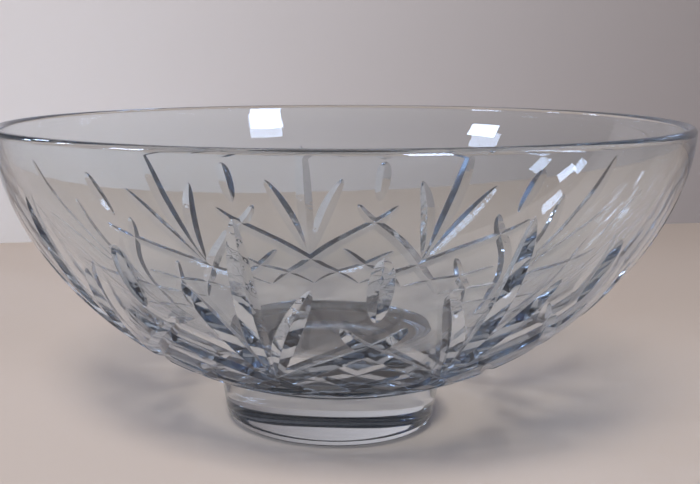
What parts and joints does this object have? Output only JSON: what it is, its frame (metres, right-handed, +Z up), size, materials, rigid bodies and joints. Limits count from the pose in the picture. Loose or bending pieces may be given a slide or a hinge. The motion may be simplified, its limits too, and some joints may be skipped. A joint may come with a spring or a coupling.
{
  "type": "crystal bowl",
  "caption": "Round footed bowl of clear cut crystal, with mitre-cut fans, leaves and crossed diagonals round its wall on a solid disc foot.",
  "frame": {"origin": "centre of the standing ring, on the surface that the bowl stands on", "axes": "+Z up along the bowl's axis, -Y towards the side that the picture shows nearest"},
  "size_m": [0.3, 0.3, 0.1373],
  "materials": {
    "cut_crystal": "fire polished wall with polished mitre cuts",
    "polished_crystal": "polished solid disc with a ground and polished standing ring"
  },
  "bodies": {
    "root": {"bowl": "cut_crystal", "foot": "polished_crystal"}
  },
  "joints": []
}
